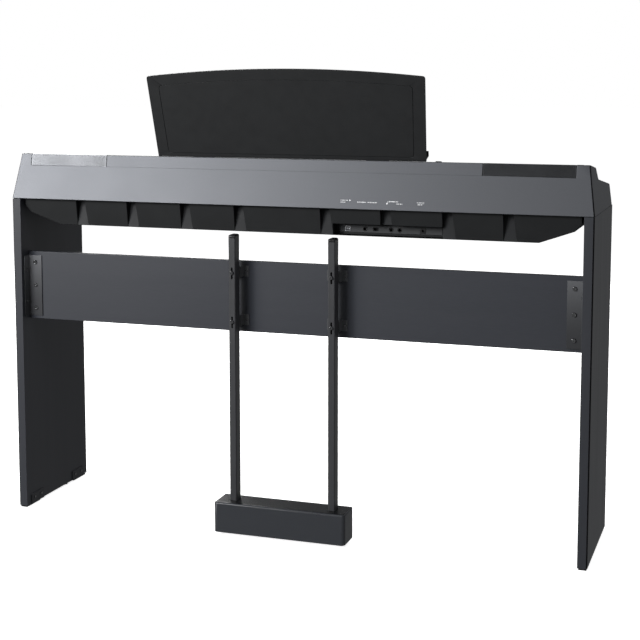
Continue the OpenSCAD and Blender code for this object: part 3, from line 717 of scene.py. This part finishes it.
def make_grille(node):
    """Perforated sheet, bent over the ridge, with black cloth behind it."""
    low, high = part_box(node)
    front = Vector((0, low.y, RIDGE_FRONT.z - (RIDGE_FRONT.y - low.y) * math.tan(DECK_SLOPE)))
    stops = [WALL_CREASE, RIDGE_BACK, RIDGE_FRONT, front]
    counts = [max(1, round((b - a).length / GRILLE_PITCH)) for a, b in zip(stops, stops[1:])]
    columns = round((high.x - low.x) / GRILLE_PITCH)
    width = high.x - low.x - 2 * SHEET_IN
    profile = bent_sheet(stops, counts)

    def place(i, j):
        spot = profile(j)
        return Vector((low.x + SHEET_IN + width * i / columns, spot.y, spot.z))

    bm = bmesh.new()
    perforate(bm, place, columns, sum(counts), (counts[0], sum(counts) - 1))
    drop = Vector((0, -CLOTH_DROP, -CLOTH_DROP))
    sides = (low.x + CLOTH_IN, high.x - CLOTH_IN)
    rows = [[bm.verts.new(Vector((x, s.y, s.z)) + drop) for x in sides] for s in stops]
    for near, far in zip(rows, rows[1:]):
        cloth = bm.faces.new((near[0], far[0], far[1], near[1]))
        cloth.material_index = 1
    materials = [MATERIAL_OF["grille_mesh"], CLOTH]
    piece = new_piece(node + "_mesh", bm, materials, smooth=False, turn_faces=False)
    sheet = piece.modifiers.new("thickness", "SOLIDIFY")
    sheet.thickness = SHEET_T
    sheet.offset = -1
    stands_for(piece, node)


for grille_node in ("left_grille", "right_grille"):
    make_grille(grille_node)

# ---- Music rest ----

REST_HALF = 314.5 * MM
REST_TAPER = 7 * MM
REST_H = 183 * MM
REST_RISE = 16.5 * MM
REST_T = 4 * MM
REST_GAP = 0.4 * MM
REST_ARC_R = (REST_HALF**2 + REST_RISE**2) / (2 * REST_RISE)
REST_CORNER = 6 * MM
REST_FOOT_CORNER = 1.5 * MM
REST_ROUND = 0.7 * MM
ARCH_STEPS = 12
BEND_STEPS = 6
PANEL_IN = 26 * MM
PANEL_TOP_IN = 23 * MM
PANEL_FOOT = 9 * MM
PANEL_CORNER = 8 * MM
LINE_W = 1.4 * MM
LINE_WALL = 0.2 * MM
LINE_DEEP = 1.1 * MM
TAB_X = 200 * MM
TAB_W = 50 * MM
TAB_LOW = -15 * MM
TAB_HIGH = 1 * MM
# The ledge's profile in (y, z) of the rest's frame, in millimetres
LEDGE = (
    (-3.0, 3.2), (-22.5, 5.0), (-24.2, 5.8), (-25.0, 7.6), (-25.0, 16.0), (-24.2, 17.0),
    (-22.8, 17.0), (-22.0, 16.2), (-21.8, 9.6), (-20.8, 8.6), (-3.0, 7.2),
)


def bend(start, corner, end):
    """Points of a rounded corner."""
    points = []
    for k in range(BEND_STEPS + 1):
        t = k / BEND_STEPS
        points.append(start.lerp(corner, t).lerp(corner.lerp(end, t), t))
    return points


def rest_outline(side_in, top_in, foot, corner, low_corner):
    """The rest's outline in (x, z): straight sides that spread upwards, and an arched top edge."""
    arc_r = REST_ARC_R - top_in
    centre = REST_H + REST_RISE - REST_ARC_R

    def half_at(z):
        return REST_HALF - side_in - REST_TAPER * (1 - z / REST_H)

    def arc_z(x):
        return centre + math.sqrt(arc_r**2 - x**2)

    top = half_at(REST_H - top_in)
    right = bend(
        Vector((half_at(foot) - low_corner, foot)),
        Vector((half_at(foot), foot)),
        Vector((half_at(foot + low_corner), foot + low_corner)),
    )
    right += bend(
        Vector((half_at(arc_z(top) - corner), arc_z(top) - corner)),
        Vector((top, arc_z(top))),
        Vector((top - corner, arc_z(top - corner))),
    )
    for k in range(1, ARCH_STEPS):
        x = (top - corner) * (1 - k / ARCH_STEPS)
        right.append(Vector((x, arc_z(x))))
    left = [Vector((-p.x, p.y)) for p in reversed(right)]
    return right + [Vector((0, arc_z(0)))] + left


def loop_of(bm, frame_matrix, outline, y):
    """New corners along an outline in (x, z), at that local y."""
    return [bm.verts.new(frame_matrix @ Vector((p.x, y, p.y))) for p in outline]


def make_music_rest():
    """Panel with a fine line sunk in its back, and a ledge with a lip for the music."""
    place = rest_frame()
    bm = bmesh.new()
    edge = rest_outline(0, 0, REST_GAP, REST_CORNER, REST_FOOT_CORNER)
    front = loop_of(bm, place, edge, -REST_T)
    back = loop_of(bm, place, edge, 0)
    bm.faces.new(front)
    bridge(bm, front, back)
    previous = back
    line = []
    groove = ((0, 0), (LINE_WALL, LINE_DEEP), (LINE_W - LINE_WALL, LINE_DEEP), (LINE_W, 0))
    for inset, depth in groove:
        corner = PANEL_CORNER - inset
        outline = rest_outline(
            PANEL_IN + inset, PANEL_TOP_IN + inset, PANEL_FOOT + inset, corner, corner
        )
        loop = loop_of(bm, place, outline, -depth)
        bridge(bm, previous, loop)
        line += loop
        previous = loop
    bm.faces.new(previous)
    half = REST_HALF - REST_TAPER
    profile = [Vector((y, z)) * MM for y, z in LEDGE]
    ends = [[bm.verts.new(place @ Vector((x, p.x, p.y))) for p in profile] for x in (-half, half)]
    bridge(bm, *ends)
    for end in ends:
        bm.faces.new(end)
    for x in (-TAB_X, TAB_X):
        slab(bm, place, box_outline(x, -REST_T / 2, TAB_W, REST_T), TAB_LOW, TAB_HIGH)
    bmesh.ops.recalc_face_normals(bm, faces=bm.faces)
    weigh_edges(bm, REST_ROUND)
    layer = bm.edges.layers.float["bevel_weight_edge"]
    sunk = set(line)
    for e in bm.edges:
        if e.verts[0] in sunk and e.verts[1] in sunk:
            e[layer] = 0
    piece = new_piece("music_rest_panel", bm, [MATERIAL_OF["rest_plastic"]])
    for polygon in piece.data.polygons:
        if polygon.area > WIDE:
            polygon.use_smooth = False
    round_edges(piece, REST_ROUND)
    stands_for(piece, "music_rest")


make_music_rest()

# ---- Printed marks ----

MARK_H = 2.1 * MM
MARK_LIFT = 15.5 * MM
# The rows of blocks above the sockets: x, height above MARK_LIFT and width, in millimetres
MARK_ROWS = (
    (129.5, 3.2, 16), (129.5, -1.0, 11), (166.5, 0, 19), (189, 0, 21),
    (235.5, 3.0, 19), (251.5, -1.6, 13), (296, 2.2, 9), (298, -1.8, 9),
)
# Width of the painted shade line along the crease
CREASE_SHADE_W = 0.4 * MM
SIGN_ROW = -49 * MM
SIGN_R = 2.2 * MM
SIGN_LINE = 0.5 * MM
SCALE_MARKS = 11
SCALE_PITCH = 4.4 * MM


def dashes(bm, place, x, y, width, draw):
    """A row of small blocks about as wide as letters, that spell nothing."""
    end = x + width
    while x < end:
        w = draw.uniform(1.0, 2.0) * MM
        slab(bm, place, box_outline(x + w / 2, y, w, MARK_H * draw.choice((0.75, 1))), 0, PRINT_T)
        x += w + draw.choice((0.5, 0.5, 0.5, 1.6)) * MM


def arrow(bm, place, x, y, size, turn=0):
    """A triangle whose tip points along X, or turn degrees from there."""
    turns = [math.radians(turn + a) for a in (0, 125, 235)]
    outline = [(x + size * math.cos(t), y + size * math.sin(t)) for t in turns]
    slab(bm, place, outline, 0, PRINT_T)


def print_piece(name, bm):
    """White marks on the top case."""
    piece = new_piece(name, bm, [PRINT], smooth=False)
    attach(piece, BODY_OF["top_case"])


def make_wall_marks():
    """Marks above the sockets, made of blocks and plain signs."""
    draw = random.Random(7)
    place = wall_frame()
    bm = bmesh.new()
    for x, y, width in MARK_ROWS:
        dashes(bm, place, x * MM, MARK_LIFT + y * MM, width * MM, draw)
    arrow(bm, place, 150 * MM, MARK_LIFT + 3.2 * MM, 2.4 * MM)
    arrow(bm, place, 231.5 * MM, MARK_LIFT - 1.4 * MM, 2.4 * MM, -90)
    slab(bm, place, box_outline(233 * MM, MARK_LIFT + 2 * MM, 0.8 * MM, 4 * MM), 0, PRINT_T)
    ring_slabs(bm, place, 309.5 * MM, MARK_LIFT + 2 * MM, 1.4 * MM, SIGN_LINE)
    print_piece("wall_marks", bm)


def make_crease_line():
    """A fine line along the crease of the back wall, from grille to grille, painted darker as
    shade.
    """
    left, right = (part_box(node) for node in ("left_grille", "right_grille"))
    start, end = sorted(-x for x in (max(left[0].x, right[0].x), min(left[1].x, right[1].x)))
    height = (WALL_CREASE - WALL_FOOT).length
    outline = box_outline((start + end) / 2, height, end - start, CREASE_SHADE_W)
    bm = bmesh.new()
    slab(bm, wall_frame(), outline, 0, PRINT_T)
    shade_line = new_piece("crease_line", bm, [CREASE_SHADE_GREY], smooth=False)
    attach(shade_line, BODY_OF["top_case"])


def make_deck_marks():
    """Plain signs behind the buttons, and a scale beside the volume slider."""
    place = deck_frame()
    bm = bmesh.new()
    row = SIGN_ROW

    def x_of(node):
        low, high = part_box(node)
        return (low.x + high.x) / 2

    def bar(x, y, width, height):
        slab(bm, place, box_outline(x, y, width, height), 0, PRINT_T)

    power = x_of("power_button")
    ring_slabs(bm, place, power, row, SIGN_R, SIGN_LINE, 120, 300)
    bar(power, row + SIGN_R, 0.6 * MM, 2.6 * MM)
    arrow(bm, place, x_of("play_button"), row, 2.6 * MM)
    ring_slabs(bm, place, x_of("record_button"), row, 0, SIGN_R)
    wedge = ((-2.4, -2), (2.4, -2), (0.8, 2.6), (-0.8, 2.6))
    middle = x_of("metronome_button")
    slab(bm, place, [(middle + x * MM, row + y * MM) for x, y in wedge], 0, PRINT_T)
    for k in range(4):
        bar(x_of("rhythm_button") + (k - 1.5) * 1.8 * MM, row, 0.8 * MM, (2 + k % 2 * 2) * MM)
    for k in range(SCALE_MARKS):
        tall = (2.2 if k % 5 else 3.6) * MM
        x = x_of("volume_slider") + (k - 5) * SCALE_PITCH
        bar(x, row - 0.5 * MM, SIGN_LINE, tall)
    print_piece("deck_marks", bm)


make_wall_marks()
make_crease_line()
make_deck_marks()

# ---- Pedals ----

# Rings along a pedal: y from the side panels' back, half the width and half the thickness, in mm
PEDAL_RINGS = (
    (12, 7.0, 4.0), (2, 7.0, 4.0), (-28, 7.0, 4.0), (-42, 7.1, 4.0), (-54, 8.0, 4.0),
    (-66, 9.7, 3.95), (-78, 11.4, 3.85), (-88, 12.0, 3.7), (-97, 11.7, 3.5),
    (-103, 10.3, 3.2), (-107, 7.9, 2.7), (-109.3, 4.6, 1.9),
)
PEDAL_AROUND = 28
PEDAL_SQUARENESS = 4.2
PEDAL_ROUND = 0.5 * MM
ROD_BACK = 18 * MM
EYE_R = 8 * MM
EYE_BORE = 4.06 * MM
EYE_HALF = 7 * MM
EYE_STEPS = 40


def squared_ring(half_w, half_t):
    """Points of a rounded rectangle: a superellipse."""

    def squared(share):
        return math.copysign(abs(share) ** (2 / PEDAL_SQUARENESS), share)

    turns = [2 * math.pi * (k + 0.5) / PEDAL_AROUND for k in range(PEDAL_AROUND)]
    return [(squared(math.cos(t)) * half_w, squared(math.sin(t)) * half_t) for t in turns]


def make_pedal(node):
    """A cast pedal: square neck, a crowned foot, and the eye that turns on the rod."""
    low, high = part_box(node)
    rod = Vector(((low.x + high.x) / 2, BACK_Y + ROD_BACK, (low.z + high.z) / 2))
    bm = bmesh.new()
    rings = []
    for along, half_w, half_t in PEDAL_RINGS:
        y = BACK_Y + along * MM
        points = squared_ring(half_w * MM, half_t * MM)
        rings.append([bm.verts.new(Vector((rod.x + x, y, rod.z + z))) for x, z in points])
    for near, far in zip(rings, rings[1:]):
        bridge(bm, near, far)
    bm.faces.new(rings[0])
    bm.faces.new(rings[-1])
    turns = [2 * math.pi * k / EYE_STEPS for k in range(EYE_STEPS)]
    loops = []
    eye = ((EYE_BORE, -EYE_HALF), (EYE_R, -EYE_HALF), (EYE_R, EYE_HALF), (EYE_BORE, EYE_HALF))
    for r, x in eye:
        offsets = [Vector((x, r * math.cos(t), r * math.sin(t))) for t in turns]
        loops.append([bm.verts.new(rod + offset) for offset in offsets])
    for a, b in zip(loops, loops[1:] + loops[:1]):
        bridge(bm, a, b)
    bmesh.ops.recalc_face_normals(bm, faces=bm.faces)
    weigh_edges(bm, PEDAL_ROUND)
    piece = new_piece(node + "_cast", bm, [MATERIAL_OF["pedal_brass"]])
    stands_for(piece, node)


for pedal_node in ("soft_pedal", "sostenuto_pedal", "damper_pedal"):
    make_pedal(pedal_node)

# ---- CAD nodes that stay ----


def dress_frame():
    """Every CAD node that still shows gets its slot's material."""
    for node, obj in frame["nodes"].items():
        for place in obj.material_slots:
            place.material = MATERIAL_OF[SLOT_OF[node]]


dress_frame()

# ---- Studio ----

FLOOR_HALF = 40
SURROUND_R = 38


def area_light(name, place, aim, size, power):
    """A rectangular light that the camera doesn't see, turned towards aim."""
    data = bpy.data.lights.new(name, "AREA")
    data.shape = "RECTANGLE"
    data.size, data.size_y = size
    data.energy = power
    light = bpy.data.objects.new(name, data)
    light.location = place
    light.rotation_euler = (Vector(aim) - Vector(place)).to_track_quat("-Z", "Y").to_euler()
    light.visible_camera = False
    bpy.context.scene.collection.objects.link(light)
    return light


def make_floor():
    """A pale floor that glows, and a plain white surround; neither lights the piano."""
    bm = bmesh.new()
    bmesh.ops.create_grid(bm, x_segments=1, y_segments=1, size=FLOOR_HALF)
    s = Shader("pale_floor", (0.82, 0.82, 0.82), 0.8, specular=0.1)
    s.tone(s.noise(0.5, 2), 0.01)
    s.set("Emission Color", (1, 1, 1, 1))
    s.set("Emission Strength", 0.85)
    floor = new_piece("floor", bm, [s.material], smooth=False)
    bm = bmesh.new()
    bmesh.ops.create_uvsphere(bm, u_segments=48, v_segments=24, radius=SURROUND_R)
    s = Shader("white_surround", (0, 0, 0), 1, specular=0)
    s.set("Emission Color", (1, 1, 1, 1))
    s.set("Emission Strength", 1)
    surround = new_piece("surround", bm, [s.material])
    for obj in (floor, surround):
        obj.visible_glossy = False
        obj.visible_diffuse = False
    surround.visible_shadow = False


def make_studio():
    """Dim even surroundings, and large lights behind the piano, in front and at the bass end.

    Behind it, one light makes the reflections and another one the shadows.
    """
    world = bpy.data.worlds.new("studio")
    world.use_nodes = True
    world.node_tree.nodes["Background"].inputs["Color"].default_value = (0.98, 0.99, 1, 1)
    world.node_tree.nodes["Background"].inputs["Strength"].default_value = 0.21
    bpy.context.scene.world = world
    bpy.context.scene.view_settings.view_transform = "Standard"
    gloss = area_light("gloss_light", (3.6, 4.0, 2.25), (0.4, 0.1, 0.8), (2.4, 1.8), 372)
    gloss.visible_diffuse = False
    soft = area_light("soft_light", (1.5, 3.0, 1.9), (0, 0.1, 0.6), (1.6, 1.4), 145)
    soft.visible_glossy = False
    area_light("front_light", (2.6, -3.2, 2.3), (0, 0, 0.6), (2.0, 1.6), 80)
    front = area_light("front_soft_light", (0.5, -3.4, 1.9), (0, 0, 0.6), (2.0, 1.6), 110)
    front.visible_glossy = False
    area_light("bass_light", (-3.2, 0.9, 2.4), (-0.6, 0, 0.8), (1.2, 1.2), 14)


make_floor()
make_studio()
